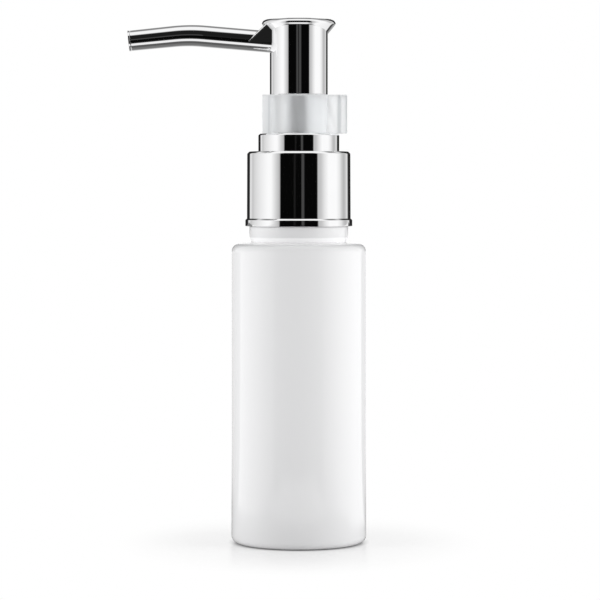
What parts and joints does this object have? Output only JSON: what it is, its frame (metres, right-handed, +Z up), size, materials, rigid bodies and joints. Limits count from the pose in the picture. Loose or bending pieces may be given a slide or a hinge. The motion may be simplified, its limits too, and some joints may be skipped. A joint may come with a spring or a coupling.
{
  "type": "lotion pump bottle",
  "caption": "Slim cylindrical cosmetic bottle with a long bent-nozzle lotion pump, two-step bright collar and pull-off milky lock clip.",
  "frame": {"origin": "on the bottle's axis, on the surface that its flat base stands on", "axes": "+Z up along the bottle's axis, -X towards the nozzle's outlet, -Y towards the viewer of the picture"},
  "size_m": [0.0654, 0.037, 0.1438],
  "materials": {
    "bottle_white": "opaque white, satin gloss",
    "bright_plating": "mirror-bright plating",
    "clip_milky": "milky translucent polypropylene, smooth",
    "inner_plastic": "natural moulded polypropylene",
    "soft_seal": "soft polyethylene, matt",
    "steel": "drawn or polished stainless steel"
  },
  "bodies": {
    "bottle": {"bottle": "bottle_white"},
    "pump_body": {"neck_gasket": "soft_seal", "pump_housing": "inner_plastic", "stem_guide": "bright_plating", "stem_seal": "soft_seal", "valve_cage": "inner_plastic", "dip_tube": "inner_plastic", "return_spring": "steel"},
    "inlet_valve": {"inlet_ball": "steel"},
    "closure": {"closure_core": "inner_plastic", "collar_shell": "bright_plating"},
    "plunger": {"stem": "inner_plastic", "piston_rod": "inner_plastic"},
    "sliding_piston": {"piston": "soft_seal"},
    "head": {"actuator_core": "inner_plastic", "head_shell": "bright_plating", "head_cap": "bright_plating", "nozzle_liner": "inner_plastic", "nozzle_tip": "bright_plating"},
    "clip": {"lock_clip": "clip_milky"}
  },
  "joints": [
    {"name": "pump_lift", "type": "slide", "parent": "bottle", "child": "pump_body", "axis": [0, 0, 1], "range_m": [0, 0.0048]},
    {"name": "closure_turn", "type": "hinge", "parent": "pump_body", "child": "closure", "pos_m": [0, 0, 0.0869], "axis": [0, 0, 1], "range_deg": [0, 540]},
    {"name": "pump_stroke", "type": "slide", "parent": "pump_body", "child": "plunger", "axis": [0, 0, -1], "range_m": [0, 0.01], "stiffness_N_per_m": 800, "springref_m": -0.01, "deforming": ["return_spring"]},
    {"name": "head_swivel", "type": "hinge", "parent": "plunger", "child": "head", "pos_m": [0, 0, 0.1346], "axis": [0, 0, 1], "continuous": true},
    {"name": "clip_pull", "type": "slide", "parent": "pump_body", "child": "clip", "axis": [1, 0, 0], "range_m": [0, 0.024]},
    {"name": "ball_lift", "type": "slide", "parent": "pump_body", "child": "inlet_valve", "axis": [0, 0, 1], "range_m": [0, 0.0012]},
    {"name": "piston_float", "type": "slide", "parent": "plunger", "child": "sliding_piston", "axis": [0, 0, 1], "range_m": [0, 0.0009]}
  ],
  "couplings": [
    {"joint": "pump_lift", "follows": "closure_turn", "m_per_rad": 0.00050532}
  ]
}
